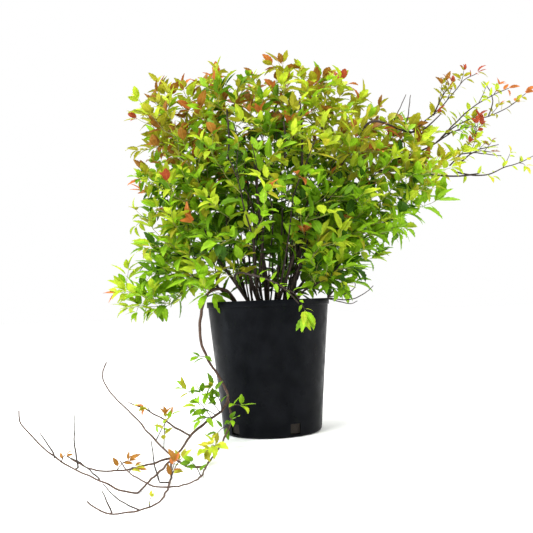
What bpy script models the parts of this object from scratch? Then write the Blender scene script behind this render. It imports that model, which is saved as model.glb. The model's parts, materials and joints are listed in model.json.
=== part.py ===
"""A goldflame spirea in its black nursery pot, as one solid for each stem, bough and mass of leaves.

Lengths are in metres and +Z is up. The origin is the middle of the pot's flat underside, and the side of
the shrub that the photograph shows faces -Y. The stems stand on the soil and end where they enter a mass
of leaves. One long branch has flopped over the rim and lies on the ground in front of the pot.
"""

import math

import bmesh
import bpy
from mathutils import Matrix, Vector, noise

# Clearance between pieces that touch, and how deep a limb's end sits in a mass of leaves
GAP = 0.0003
SOCKET_DEPTH = 0.010

# Pot
POT_HEIGHT = 0.290
POT_FOOT_RADIUS = 0.110
POT_SHOULDER_RADIUS = 0.134
POT_FOOT_ROUNDING = 0.008
POT_FOOT_ROUNDING_MIDDLE = 0.0024
POT_WALL = 0.0022
POT_FLOOR = 0.003
RIM_BAND_HEIGHT = 0.013
RIM_BAND_STEP = 0.0028
RIM_LIP = 0.002
POT_SIDES = 32

# Drain holes through the wall at the foot, turned so that two of them show from the front
DRAIN_HOLES = 5
DRAIN_WIDTH = 0.024
DRAIN_BOTTOM = 0.005
DRAIN_TOP = 0.029
DRAIN_CUTTER_DEPTH = 0.032
DRAIN_FIRST_ANGLE = math.radians(-64)

# Soil, level round the stems and falling a little to the wall
SOIL_HEIGHT = 0.268
SOIL_LEVEL_RADIUS = 0.074
SOIL_EDGE_HEIGHT = 0.262

# Meshes
LIMB_SIDES = 6
STEPS_PER_SPAN = 3
FINE_STEP = 0.001
HEADING_STEP = 0.004
LARGE_MASS = 0.075
LARGE_MASS_SUBDIVISIONS = 3
SMALL_MASS_SUBDIVISIONS = 2

# Masses are lumpy: how far the lumps rise and sink, as a share of the size, how many there are, and how
# far apart in the noise any two masses take theirs from
UNEVENNESS = 0.34
LUMPS = 2.1
LUMPS_APART = (7.3, 3.1, 5.7)

# Colours, as each material's name, base colour and roughness
BLACK_PLASTIC = ("black_plastic", (0.012, 0.013, 0.016, 1.0), 0.38)
POTTING_MIX = ("potting_mix", (0.035, 0.022, 0.014, 1.0), 0.95)
BARK = ("bark", (0.085, 0.045, 0.028, 1.0), 0.85)
DARK = ("dark_leaves", (0.035, 0.13, 0.015, 1.0), 0.55)
GREEN = ("green_leaves", (0.10, 0.27, 0.02, 1.0), 0.55)
LIME = ("lime_leaves", (0.32, 0.48, 0.03, 1.0), 0.55)
BRONZE = ("bronze_leaves", (0.34, 0.25, 0.03, 1.0), 0.55)
YOUNG = ("young_leaves", (0.55, 0.13, 0.03, 1.0), 0.55)

# Masses of the crown, from the pot up: middle, half sizes, tilt of the right end upwards in degrees, leaves
CROWN = {
    "mass_left_skirt": ((-0.234, -0.040, 0.327), (0.114, 0.100, 0.079), 8, LIME),
    "mass_front_skirt": ((-0.085, -0.105, 0.372), (0.064, 0.064, 0.060), 0, GREEN),
    "mass_right_skirt": ((0.140, -0.060, 0.352), (0.090, 0.098, 0.072), -12, GREEN),
    "mass_back_left_skirt": ((-0.125, 0.140, 0.400), (0.104, 0.092, 0.090), 0, DARK),
    "mass_back_right_skirt": ((0.125, 0.150, 0.400), (0.108, 0.092, 0.090), 0, DARK),
    "mass_left": ((-0.200, -0.010, 0.480), (0.090, 0.128, 0.096), 0, GREEN),
    "mass_front_left": ((-0.085, -0.140, 0.520), (0.096, 0.090, 0.098), 0, GREEN),
    "mass_front_right": ((0.105, -0.140, 0.510), (0.104, 0.094, 0.098), 0, GREEN),
    "mass_right": ((0.250, -0.030, 0.480), (0.118, 0.122, 0.094), 24, GREEN),
    "mass_back_left": ((-0.120, 0.145, 0.585), (0.125, 0.108, 0.106), 0, GREEN),
    "mass_back_right": ((0.145, 0.150, 0.585), (0.132, 0.108, 0.106), 0, GREEN),
    "mass_left_shoulder": ((-0.186, -0.020, 0.632), (0.096, 0.132, 0.086), 0, BRONZE),
    "mass_middle": ((-0.020, -0.080, 0.655), (0.102, 0.122, 0.088), 0, LIME),
    "mass_right_shoulder": ((0.150, -0.060, 0.650), (0.100, 0.122, 0.086), 0, LIME),
    "mass_right_high": ((0.285, 0.010, 0.640), (0.100, 0.112, 0.082), 12, BRONZE),
    "mass_right_far": ((0.385, -0.010, 0.580), (0.088, 0.088, 0.060), 12, LIME),
    "mass_top_left": ((-0.172, 0.000, 0.745), (0.096, 0.112, 0.072), 0, BRONZE),
    "mass_top_middle": ((-0.030, 0.030, 0.757), (0.096, 0.118, 0.068), 0, BRONZE),
    "mass_top_right": ((0.122, 0.000, 0.765), (0.080, 0.095, 0.080), 0, BRONZE),
}

# Thin pads at the ends of the long sprays on the right, and the small tufts, told in the same way
PADS = {
    "pad_upper_spray": ((0.446, -0.030, 0.738), (0.085, 0.044, 0.030), 44, BRONZE),
    "pad_middle_spray": ((0.520, 0.025, 0.698), (0.112, 0.048, 0.030), 22, LIME),
    "pad_lower_spray": ((0.550, -0.020, 0.572), (0.078, 0.036, 0.022), 8, LIME),
    "tuft_front_spray": ((0.078, -0.185, 0.262), (0.032, 0.022, 0.034), 0, GREEN),
    "tuft_beside_pot": ((-0.137, -0.168, 0.092), (0.036, 0.026, 0.034), 0, GREEN),
    "tuft_on_ground": ((-0.108, -0.330, 0.022), (0.024, 0.024, 0.017), 0, LIME),
    "tuft_at_fork": ((-0.166, -0.455, 0.020), (0.026, 0.028, 0.017), 0, YOUNG),
}

# Main stems: distance of the foot from the pot's middle, the mass that the stem makes for, how far its
# middle strays outwards and upwards from a straight line, foot radius and top radius
STEMS = {
    "stem_left_skirt": (0.052, "mass_left_skirt", 0.000, 0.045, 0.0044, 0.0030),
    "stem_front_skirt": (0.050, "mass_front_skirt", 0.006, 0.000, 0.0036, 0.0026),
    "stem_right_skirt": (0.052, "mass_right_skirt", 0.000, 0.012, 0.0042, 0.0028),
    "stem_back_left_skirt": (0.050, "mass_back_left_skirt", 0.000, 0.014, 0.0040, 0.0028),
    "stem_back_right_skirt": (0.050, "mass_back_right_skirt", 0.000, 0.014, 0.0040, 0.0028),
    "stem_left": (0.030, "mass_left", 0.000, 0.020, 0.0056, 0.0036),
    "stem_front_left": (0.028, "mass_front_left", 0.006, 0.006, 0.0052, 0.0034),
    "stem_front_right": (0.028, "mass_front_right", 0.006, 0.006, 0.0052, 0.0034),
    "stem_right": (0.032, "mass_right", 0.000, 0.022, 0.0058, 0.0036),
    "stem_back_left": (0.024, "mass_back_left", 0.004, 0.006, 0.0054, 0.0034),
    "stem_back_right": (0.024, "mass_back_right", 0.004, 0.006, 0.0054, 0.0034),
    "stem_middle": (0.004, "mass_middle", 0.000, 0.000, 0.0066, 0.0042),
}

# Boughs that come out of one mass and go into another: points on the way, start radius and end radius
BOUGHS = {
    "bough_upper_spray": (
        ((0.300, -0.010, 0.635), (0.372, -0.022, 0.664), (0.452, -0.030, 0.742)), 0.0026, 0.0016),
    "bough_middle_spray": (
        ((0.360, 0.010, 0.610), (0.440, 0.022, 0.660), (0.520, 0.025, 0.698)), 0.0028, 0.0018),
    "bough_lower_spray": (
        ((0.400, -0.015, 0.575), (0.462, -0.020, 0.552), (0.548, -0.020, 0.572)), 0.0022, 0.0016),
    "bough_front_spray": (
        ((-0.070, -0.120, 0.355), (0.020, -0.178, 0.322), (0.078, -0.185, 0.262)), 0.0018, 0.0014),
}

# The branch over the rim and its side shoots. Each run is one smooth line: its points, the start and end
# radius, the run that carries it, and its pieces, each with the number of the point where it ends.
TRAIL = {
    "trail": (
        ((-0.058, -0.030, SOIL_HEIGHT + GAP), (-0.092, -0.060, 0.315), (-0.132, -0.094, 0.300),
         (-0.143, -0.104, 0.203), (-0.090, -0.125, 0.090), (-0.150, -0.215, 0.042),
         (-0.179, -0.300, 0.012), (-0.203, -0.470, 0.005), (-0.216, -0.540, 0.005),
         (-0.264, -0.550, 0.028), (-0.330, -0.530, 0.058), (-0.385, -0.520, 0.107),
         (-0.392, -0.520, 0.133)),
        0.0038, 0.0008, None,
        (("trail_rise", 2), ("trail_hang", 4), ("trail_ground", 8), ("trail_end", 12))),
    "fork": (
        ((-0.090, -0.125, 0.090), (-0.084, -0.160, 0.050), (-0.100, -0.260, 0.020),
         (-0.118, -0.360, 0.005), (-0.125, -0.470, 0.005), (-0.165, -0.545, 0.012),
         (-0.205, -0.530, 0.022), (-0.236, -0.495, 0.034), (-0.262, -0.450, 0.060)),
        0.0026, 0.0009, "trail",
        (("fork_ground", 4), ("fork_end", 8))),
    "side": (
        ((-0.180, -0.310, 0.011), (-0.240, -0.405, 0.013), (-0.286, -0.465, 0.025),
         (-0.315, -0.485, 0.044), (-0.362, -0.490, 0.076)),
        0.0020, 0.0008, "trail",
        (("side_shoot", 4),)),
    "cross": (
        ((-0.183, -0.330, 0.009), (-0.168, -0.470, 0.004), (-0.166, -0.560, 0.004),
         (-0.178, -0.622, 0.004), (-0.226, -0.655, 0.006), (-0.259, -0.648, 0.022)),
        0.0020, 0.0008, "trail",
        (("cross_shoot", 2), ("cross_end", 5))),
    "rising": (
        ((-0.117, -0.350, 0.006), (-0.150, -0.372, 0.006), (-0.200, -0.335, 0.035),
         (-0.255, -0.300, 0.088), (-0.296, -0.298, 0.130), (-0.309, -0.305, 0.162),
         (-0.300, -0.305, 0.187)),
        0.0019, 0.0008, "fork",
        (("rising_shoot", 3), ("rising_end", 6))),
    "upper": (
        ((-0.158, -0.235, 0.034), (-0.190, -0.258, 0.060), (-0.231, -0.272, 0.092),
         (-0.272, -0.268, 0.108)),
        0.0016, 0.0008, "trail",
        (("upper_shoot", 3),)),
}


class Mass:
    """A lumpy, tilted ellipsoid of leaves, cut flat by planes towards its neighbours."""

    def __init__(self, name, middle, sizes, tilt, number):
        self.name = name
        self.middle = Vector(middle)
        self.sizes = Vector(sizes)
        self.turn = Matrix.Rotation(-math.radians(tilt), 3, "Y")
        self.own_lumps = number * Vector(LUMPS_APART)
        self.cuts = []

    def reach(self, way):
        """How far the mass reaches from its middle in the unit direction way."""
        across = self.turn.transposed() @ way
        scaled = Vector((across.x / self.sizes.x, across.y / self.sizes.y, across.z / self.sizes.z))
        lump = noise.noise(scaled.normalized() * LUMPS + self.own_lumps)
        far = (1.0 + UNEVENNESS * lump) / scaled.length
        for normal, limit in self.cuts:
            if way.dot(normal) > 0.0:
                far = min(far, limit / way.dot(normal))
        return far

    def width_towards(self, way):
        """How far the plain ellipsoid reaches in the direction way, measured square to that direction."""
        across = self.turn.transposed() @ way
        return Vector((across.x * self.sizes.x, across.y * self.sizes.y, across.z * self.sizes.z)).length

    def holds(self, point):
        offset = point - self.middle
        return offset.length < self.reach(offset.normalized())


def cut_between(masses):
    """Gives each two masses that would meet a plane between them, which both stay GAP apart from."""
    for i, one in enumerate(masses):
        for other in masses[i + 1:]:
            between = other.middle - one.middle
            way = between.normalized()
            one_width, other_width = one.width_towards(way), other.width_towards(way)
            if (one_width + other_width) * (1.0 + UNEVENNESS) > between.length:
                share = one_width / (one_width + other_width)
                one.cuts.append((way, share * between.length - GAP / 2))
                other.cuts.append((-way, (1.0 - share) * between.length - GAP / 2))


def material(finish):
    name, colour, roughness = finish
    made = bpy.data.materials.get(name) or bpy.data.materials.new(name)
    made.use_nodes = True
    shader = made.node_tree.nodes["Principled BSDF"]
    shader.inputs["Base Color"].default_value = colour
    shader.inputs["Roughness"].default_value = roughness
    shader.inputs["Metallic"].default_value = 0.0
    return made


def add_object(name, bm, finish):
    """Makes a mesh object of a finished bmesh, with its faces pointing out."""
    bmesh.ops.recalc_face_normals(bm, faces=bm.faces)
    mesh = bpy.data.meshes.new(name)
    bm.to_mesh(mesh)
    bm.free()
    mesh.materials.append(material(finish))
    made = bpy.data.objects.new(name, mesh)
    bpy.context.collection.objects.link(made)
    return made


def as_cutter(made):
    made.hide_render = True
    made.display_type = "WIRE"
    return made


def cut_with(made, cutter):
    cut = made.modifiers.new("Cut by " + cutter.name, "BOOLEAN")
    cut.operation = "DIFFERENCE"
    cut.object = cutter


def turned(name, profile, sides, finish):
    """A solid turned round Z from a profile of (radius, height) points, whose first and last lie on Z."""
    bm = bmesh.new()
    rings = []
    for radius, height in profile[1:-1]:
        ring = []
        for step in range(sides):
            angle = 2 * math.pi * step / sides
            ring.append(bm.verts.new((radius * math.cos(angle), radius * math.sin(angle), height)))
        rings.append(ring)
    for below, above in zip(rings, rings[1:]):
        for step in range(sides):
            after = (step + 1) % sides
            bm.faces.new((below[step], below[after], above[after], above[step]))
    for ring, (_, height) in ((rings[0], profile[0]), (rings[-1], profile[-1])):
        middle = bm.verts.new((0.0, 0.0, height))
        for step in range(sides):
            bm.faces.new((ring[step], ring[(step + 1) % sides], middle))
    return add_object(name, bm, finish)


def wall_radius(height):
    """The pot's outer radius on its straight wall."""
    share = (height - POT_FOOT_ROUNDING) / (POT_HEIGHT - RIM_BAND_HEIGHT - POT_FOOT_ROUNDING)
    return POT_FOOT_RADIUS + share * (POT_SHOULDER_RADIUS - POT_FOOT_RADIUS)


def build_pot():
    band_foot = POT_HEIGHT - RIM_BAND_HEIGHT
    band = POT_SHOULDER_RADIUS + RIM_BAND_STEP
    inside = POT_SHOULDER_RADIUS - POT_WALL
    profile = [
        (0.0, 0.0),
        (POT_FOOT_RADIUS - POT_FOOT_ROUNDING, 0.0),
        (POT_FOOT_RADIUS - POT_FOOT_ROUNDING_MIDDLE, POT_FOOT_ROUNDING_MIDDLE),
        (POT_FOOT_RADIUS, POT_FOOT_ROUNDING),
        (POT_SHOULDER_RADIUS, band_foot),
        (band, band_foot + RIM_LIP / 2),
        (band, POT_HEIGHT - RIM_LIP),
        (band - RIM_LIP, POT_HEIGHT),
        (inside + RIM_LIP / 2, POT_HEIGHT),
        (inside, band_foot),
        (POT_FOOT_RADIUS - POT_WALL, POT_FOOT_ROUNDING),
        (POT_FOOT_RADIUS - POT_FOOT_ROUNDING, POT_FLOOR),
        (0.0, POT_FLOOR),
    ]
    pot = turned("pot", profile, POT_SIDES, BLACK_PLASTIC)
    cut_with(pot, build_drain_cutter())


def build_drain_cutter():
    """One box for each drain hole, through the wall at the foot."""
    bm = bmesh.new()
    size = (DRAIN_CUTTER_DEPTH, DRAIN_WIDTH, DRAIN_TOP - DRAIN_BOTTOM)
    middle = Vector((POT_FOOT_RADIUS, 0.0, (DRAIN_TOP + DRAIN_BOTTOM) / 2))
    for hole in range(DRAIN_HOLES):
        angle = DRAIN_FIRST_ANGLE + 2 * math.pi * hole / DRAIN_HOLES
        place = Matrix.Rotation(angle, 4, "Z") @ Matrix.Translation(middle) @ Matrix.Diagonal((*size, 1.0))
        bmesh.ops.create_cube(bm, size=1.0, matrix=place)
    return as_cutter(add_object("drain_cutter", bm, BLACK_PLASTIC))


def build_pot_room():
    """A cutter of the pot's full outer size, so that leaves lie over the rim and don't run into it."""
    band = POT_SHOULDER_RADIUS + RIM_BAND_STEP + GAP
    profile = [(0.0, 0.0), (band, 0.0), (band, POT_HEIGHT + GAP), (0.0, POT_HEIGHT + GAP)]
    return as_cutter(turned("pot_room", profile, POT_SIDES, BLACK_PLASTIC))


def build_soil():
    inside = POT_WALL + GAP
    profile = [
        (0.0, POT_FLOOR + GAP),
        (POT_FOOT_RADIUS - POT_FOOT_ROUNDING - inside, POT_FLOOR + GAP),
        (POT_FOOT_RADIUS - inside, POT_FOOT_ROUNDING),
        (wall_radius(SOIL_EDGE_HEIGHT) - inside, SOIL_EDGE_HEIGHT),
        (SOIL_LEVEL_RADIUS, SOIL_HEIGHT),
        (0.0, SOIL_HEIGHT),
    ]
    turned("soil", profile, POT_SIDES, POTTING_MIX)


def smooth_line(points, steps=STEPS_PER_SPAN):
    """Points along one smooth curve through all of the given points, steps of them to each span."""
    points = [Vector(p) for p in points]
    ends = [2 * points[0] - points[1], *points, 2 * points[-1] - points[-2]]
    line = []
    for a, b, c, d in zip(ends, ends[1:], ends[2:], ends[3:]):
        for step in range(steps):
            t = step / steps
            line.append(
                b + 0.5 * t * (c - a)
                + t * t * (a - 2.5 * b + 2 * c - 0.5 * d)
                + t * t * t * (1.5 * (b - c) + 0.5 * (d - a)))
    return [*line, points[-1]]


def length_of(line):
    return sum((b - a).length for a, b in zip(line, line[1:]))


def point_along(line, distance):
    for a, b in zip(line, line[1:]):
        span = (b - a).length
        if distance <= span:
            return a.lerp(b, distance / span)
        distance -= span
    return line[-1] + (line[-1] - line[-2]).normalized() * distance


def way_along(line, distance):
    """The direction of a line, taken over a few millimetres, so that it changes little across a gap."""
    before = point_along(line, distance - HEADING_STEP)
    after = point_along(line, distance + HEADING_STEP)
    return (after - before).normalized()


def ring_distances(line, start, end):
    """Where a limb that runs from start to end along a line has its rings."""
    kept, passed = [start], 0.0
    for a, b in zip(line, line[1:]):
        passed += (b - a).length
        if start + FINE_STEP < passed < end - FINE_STEP:
            kept.append(passed)
    return [*kept, end]


def ring_round(point, way, side, radius):
    """The corners of a limb's ring round a point, square to the direction way."""
    return [
        point + radius * (Matrix.Rotation(2 * math.pi * step / LIMB_SIDES, 3, way) @ side)
        for step in range(LIMB_SIDES)
    ]


def limb_mesh(line, start, end, radii, level_foot, swell=0.0):
    """A tapering tube with flat ends along part of a line. swell makes it that much bigger all over."""
    distances = ring_distances(line, start - swell, end + swell)
    side = way_along(line, start).orthogonal()
    bm = bmesh.new()
    rings = []
    for distance in distances:
        way = way_along(line, distance)
        side = (side - way * side.dot(way)).normalized()
        radius = radii[0] + (radii[1] - radii[0]) * (distance - start) / (end - start) + swell
        point = point_along(line, distance)
        ring = ring_round(point, way, side, radius)
        if level_foot and not rings:
            ring = [place - way * (place.z - point.z) / way.z for place in ring]
        rings.append([bm.verts.new(place) for place in ring])
    for below, above in zip(rings, rings[1:]):
        for step in range(LIMB_SIDES):
            after = (step + 1) % LIMB_SIDES
            bm.faces.new((below[step], below[after], above[after], above[step]))
    bm.faces.new(rings[0])
    bm.faces.new(rings[-1])
    return bm


def add_limb(name, line, start, end, radii, level_foot=False):
    """A limb, with the swollen cutter that clears room for it in the masses. Returns the cutter."""
    add_object(name, limb_mesh(line, start, end, radii, level_foot), BARK)
    room = limb_mesh(line, start, end, radii, level_foot, GAP)
    return as_cutter(add_object(name + "_room", room, BARK))


def open_stretch(line, masses):
    """Where the longest part of a line outside all masses starts and ends, with its sockets in the masses."""
    fine = round(length_of(line) / FINE_STEP)
    longest, first, start = 0, 0, None
    for step in range(fine + 1):
        inside = any(mass.holds(point_along(line, step * FINE_STEP)) for mass in masses)
        if not inside and start is None:
            start = step
        if start is not None and (inside or step == fine):
            if step - start > longest:
                longest, first = step - start, start
            start = None
    socket = SOCKET_DEPTH if first else 0.0
    return first * FINE_STEP - socket, (first + longest) * FINE_STEP + SOCKET_DEPTH


def build_stems(masses):
    """Each stem stands on the soil, on its mass's side of the middle, and leans to that mass."""
    by_name = {mass.name: mass for mass in masses}
    rooms = []
    for name, (foot_distance, mass_name, outwards, upwards, foot_radius, top_radius) in STEMS.items():
        aim = by_name[mass_name].middle
        side = Vector((aim.x, aim.y, 0.0)).normalized()
        foot = side * foot_distance + Vector((0.0, 0.0, SOIL_HEIGHT + GAP))
        middle = (foot + aim) / 2 + side * outwards + Vector((0.0, 0.0, upwards))
        line = smooth_line((foot, middle, aim))
        start, end = open_stretch(line, masses)
        rooms.append(add_limb(name, line, start, end, (foot_radius, top_radius), level_foot=True))
    return rooms


def build_boughs(masses):
    rooms = []
    for name, (points, start_radius, end_radius) in BOUGHS.items():
        line = smooth_line(points)
        start, end = open_stretch(line, masses)
        rooms.append(add_limb(name, line, start, end, (start_radius, end_radius)))
    return rooms


def gap_to(point, line, radii):
    """How far a point lies from the surface of a tapering limb along a line."""
    total, passed, nearest = length_of(line), 0.0, math.inf
    for a, b in zip(line, line[1:]):
        span = b - a
        share = max(0.0, min(1.0, (point - a).dot(span) / span.length_squared))
        radius = radii[0] + (radii[1] - radii[0]) * (passed + share * span.length) / total
        nearest = min(nearest, (point - a - span * share).length - radius)
        passed += span.length
    return nearest


def clear_start(line, radius, carrier_line, carrier_radii):
    """How far along its line a side shoot begins, to stand GAP clear of the limb that carries it."""
    distance = 0.0
    while True:
        way = way_along(line, distance)
        ring = ring_round(point_along(line, distance), way, way.orthogonal().normalized(), radius)
        if min(gap_to(place, carrier_line, carrier_radii) for place in ring) > GAP:
            return distance
        distance += GAP


def build_trail():
    """The branch over the rim with its shoots. The pieces of a run meet end to end, GAP apart."""
    rooms, laid = [], {}
    for run, (points, start_radius, end_radius, carrier, pieces) in TRAIL.items():
        line = smooth_line(points)
        total = length_of(line)
        start = clear_start(line, start_radius, *laid[carrier]) if carrier else 0.0
        for name, end_point in pieces:
            end = length_of(line[:end_point * STEPS_PER_SPAN + 1])
            radii = [start_radius + (end_radius - start_radius) * at / total for at in (start, end)]
            rooms.append(add_limb(name, line, start, end, radii, level_foot=name == "trail_rise"))
            start = end + GAP
        laid[run] = (line, (start_radius, end_radius))
    return rooms


def reaches(mass, room):
    """True if an edge of a cutter comes near enough to a mass to need room in it."""
    corners = room.data.vertices
    for edge in room.data.edges:
        a, b = (corners[i].co for i in edge.vertices)
        steps = 1 + int((b - a).length / HEADING_STEP)
        for step in range(steps + 1):
            offset = a.lerp(b, step / steps) - mass.middle
            if offset.length < mass.reach(offset.normalized()) + HEADING_STEP:
                return True
    return False


def build_mass(mass, leaves, subdivisions, rooms):
    bm = bmesh.new()
    bmesh.ops.create_icosphere(bm, subdivisions=subdivisions, radius=1.0)
    for vertex in bm.verts:
        x, y, z = vertex.co
        way = (mass.turn @ Vector((x * mass.sizes.x, y * mass.sizes.y, z * mass.sizes.z))).normalized()
        vertex.co = mass.middle + way * mass.reach(way)
    made = add_object(mass.name, bm, leaves)
    for room in rooms:
        if reaches(mass, room):
            cut_with(made, room)


def build_leaves(masses, rooms):
    for mass in masses:
        leaves = (CROWN | PADS)[mass.name][-1]
        large = mass.sizes.y > LARGE_MASS
        subdivisions = LARGE_MASS_SUBDIVISIONS if large else SMALL_MASS_SUBDIVISIONS
        build_mass(mass, leaves, subdivisions, rooms)


def main():
    for old in list(bpy.data.objects):
        bpy.data.objects.remove(old, do_unlink=True)
    masses = [
        Mass(name, middle, sizes, tilt, number)
        for number, (name, (middle, sizes, tilt, _)) in enumerate((CROWN | PADS).items())
    ]
    cut_between(masses)
    build_pot()
    build_soil()
    rooms = [build_pot_room()] + build_stems(masses) + build_boughs(masses) + build_trail()
    build_leaves(masses, rooms)


main()
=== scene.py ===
"""Looks of a goldflame spirea in its nursery pot: bark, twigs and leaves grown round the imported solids."""

import json
import math
import random

import bmesh
import bpy
import numpy as np
from mathutils import Matrix, Vector, noise
from mathutils.bvhtree import BVHTree

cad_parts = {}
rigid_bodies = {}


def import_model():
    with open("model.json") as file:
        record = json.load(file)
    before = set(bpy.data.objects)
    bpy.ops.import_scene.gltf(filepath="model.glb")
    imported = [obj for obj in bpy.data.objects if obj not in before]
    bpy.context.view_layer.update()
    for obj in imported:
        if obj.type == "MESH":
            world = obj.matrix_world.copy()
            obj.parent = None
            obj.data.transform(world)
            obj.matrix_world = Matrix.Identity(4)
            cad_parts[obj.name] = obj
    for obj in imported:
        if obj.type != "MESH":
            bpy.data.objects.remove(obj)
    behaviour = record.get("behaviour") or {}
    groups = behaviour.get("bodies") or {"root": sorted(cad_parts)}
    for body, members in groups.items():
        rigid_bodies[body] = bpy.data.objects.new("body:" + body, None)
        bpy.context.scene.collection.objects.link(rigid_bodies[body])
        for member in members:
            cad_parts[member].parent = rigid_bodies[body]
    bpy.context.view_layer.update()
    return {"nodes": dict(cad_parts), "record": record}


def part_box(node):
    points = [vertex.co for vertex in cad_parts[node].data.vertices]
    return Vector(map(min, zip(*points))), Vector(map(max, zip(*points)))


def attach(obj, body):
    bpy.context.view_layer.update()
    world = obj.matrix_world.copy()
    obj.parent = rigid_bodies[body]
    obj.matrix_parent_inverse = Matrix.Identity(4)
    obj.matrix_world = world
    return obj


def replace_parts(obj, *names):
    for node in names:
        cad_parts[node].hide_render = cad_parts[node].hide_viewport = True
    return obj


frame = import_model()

SLOT_OF = {part["node"]: part["material_slot"] for part in frame["record"]["subparts"]}

# One seed for all draws. The noise vectors would take theirs from the clock without it.
SEED = 41
rng = random.Random(SEED)
noise.seed_set(SEED)

# Camera, 1.7 m from the pot's axis and just below its rim. The photograph leans a little to the left.
CAMERA_DISTANCE = 1.7
CAMERA_HEIGHT = 0.287
CAMERA_PITCH = math.radians(2.65)
CAMERA_ROLL = math.radians(-2.2)
CAMERA_LENS = 51.06
CAMERA_SENSOR = 36.0

# Studio: each lamp's place, size, power and tint, what they face, and the sky's strength low and high
WHITE = (1.0, 1.0, 1.0)
LAMPS = {
    "key": ((-1.3, -1.6, 2.3), (1.4, 1.4), 85.0, WHITE),
    "top": ((0.3, 0.4, 2.6), (1.8, 1.8), 52.0, WHITE),
    "left_strip": ((-1.7, -0.1, 0.5), (0.35, 1.4), 20.0, (0.80, 0.90, 1.0)),
    "right_strip": ((1.7, -0.3, 0.5), (0.35, 1.4), 16.0, WHITE),
}
LAMPS_FACE = (0.0, 0.0, 0.45)
SKY_LOW = 0.25
SKY_HIGH = 2.00
SKY_RISES_FROM = 0.25
FLOOR_REACH = 14.0
FLOOR_CELLS = 8
FLOOR_BELOW_POT = 0.0005

# Pot details finer than the solid, which share its outline
POT_SIDES = 144
POT_WALL = 0.0022
POT_FLOOR = 0.003
POT_SHARP_ANGLE = math.radians(40)
RIM_BAND_HEIGHT = 0.013
RIM_BAND_STEP = 0.0028
BAND_ROUNDING = 0.0008
RIM_LIP = 0.002
SHOULDER_EASE = 0.0004
SHOULDER_EASE_HEIGHT = 0.004
FOOT_ROUNDING = 0.008
FOOT_RADIUS = 0.110
DRAIN_HOLES = 5
DRAIN_WIDTH = 0.024
DRAIN_BOTTOM = 0.005
DRAIN_TOP = 0.029
DRAIN_FIRST_ANGLE = math.radians(-64)
DRAIN_DEPTH = 0.032

# Potting mix: flat in the middle, falling to the wall, with crumbs as (height, fineness), and its two
# lower rings as (height above its underside, distance inside the pot's foot)
SOIL_RINGS = 34
SOIL_SPOKES = 110
SOIL_WALL_GAP = 0.001
SOIL_FLAT_RADIUS = 0.074
SOIL_FALL = 0.006
SOIL_UNDER_BOX = 0.0022
SOIL_CRUMBS = ((0.0022, 160.0), (0.0016, 420.0))
SOIL_FOOT_RINGS = ((0.006, 0.004), (0.0, 0.011))

# Bark chips on the mix, with least and greatest measures
CHIPS = 420
CHIP_WALL_GAP = 0.010
CHIP_LENGTH = (0.003, 0.009)
CHIP_WIDTH = (0.002, 0.005)
CHIP_THICKNESS = (0.0008, 0.002)
CHIP_SINK = 0.004
CHIP_LIFT = 0.003
CHIP_TILT = 0.5
CHIP_EVENNESS = (0.6, 1.0)
BOX_CORNERS = (
    (-1, -1, -1), (1, -1, -1), (1, 1, -1), (-1, 1, -1), (-1, -1, 1), (1, -1, 1), (1, 1, 1), (-1, 1, 1))
BOX_FACES = ((0, 3, 2, 1), (4, 5, 6, 7), (0, 1, 5, 4), (1, 2, 6, 5), (2, 3, 7, 6), (3, 0, 4, 7))

# Packed limbs, read back from the corners of their rings. A ring that is RING_SPREAD times as wide as
# usual mixes corners of two rings and is dropped. Then the bark's ridges and pores.
RING_CORNERS = 6
RING_MERGE = 1e-4
RING_DIGITS = 6
ORDER_DIGITS = 9
RING_SPREAD = 1.7
STEM_STEP = 0.006
STEM_SHARE = 0.72
STEM_SIDES = 12
STEM_RELIEF = 0.16
RIDGES_ROUND = 2.2
RIDGES_ALONG = 22.0
PORES = 900.0
PORE_SHARE = 0.7
LOWEST_BARK = 0.0002

# Boughs, their feeders and the trailing branch, which wobbles as (amount, fineness)
BOUGH_RADIUS = 0.0020
BOUGH_END_SHARE = 0.6
FEEDER_SHARE = 1.4
BOUGH_SIDES = 10
BOUGH_RELIEF = 0.14
TRAIL_RUNS = (
    ("trail_rise", "trail_hang", "trail_ground", "trail_end"), ("fork_ground", "fork_end"), ("side_shoot",),
    ("cross_shoot", "cross_end"), ("rising_shoot", "rising_end"), ("upper_shoot",))
TRAIL_RADII = (0.0034, 0.0011)
TRAIL_SHOOT_RADII = (0.0021, 0.0011)
TRAIL_RELIEF = 0.18
TRAIL_WOBBLE = (0.0018, 55.0)
TRAIL_ABOVE_FLOOR = 0.0004

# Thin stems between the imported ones
THIN_STEMS = 34
THIN_STEM_START = (0.008, 0.055)
THIN_STEM_REACH = (0.05, 0.21)
THIN_STEM_TOP = (0.46, 0.70)
THIN_STEM_DRIFT = 0.03
THIN_STEM_SINK = 0.006
THIN_STEM_JOINTS = 5
THIN_STEM_BEND = 0.007
THIN_STEM_LOOSENS = 3
THIN_STEM_ARCH = 0.035
THIN_STEM_RADIUS = (0.0018, 0.0030)
THIN_STEM_TIP = 0.0010

# Branching: what a shoot costs by its length, turn, way to the soil and sisters, and how it curves
GROWING_POINTS = 60000
SHOOT_STEP = 0.011
TWIG_STEP = SHOOT_STEP / 2
SHOOT_WOBBLE = (0.0016, 60.0)
PATH_COST = 0.30
TURN_COST = 0.55
CHILD_COST = 0.010
LOWEST_SHOOT = 0.285
LONGEST_REACH = 0.130
KEEPS_HEADING = 0.5
BENDS = 0.5
BENDS_OUT = 0.35
BENDS_UP = 0.65
SHOOT_LEAST_STEPS = 2
FEEDER_LEAST_STEPS = 3
ABOVE_ZERO = 1e-6
TIP_RADIUS = 0.0005
PIPE_POWER = 2.5
THICKEST_SHOOT = 0.0024
YOUNG_WOOD_RADIUS = 0.0011
TWIG_SIDES = 6
YOUNG_SHOOT_SIDES = 5

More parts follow.
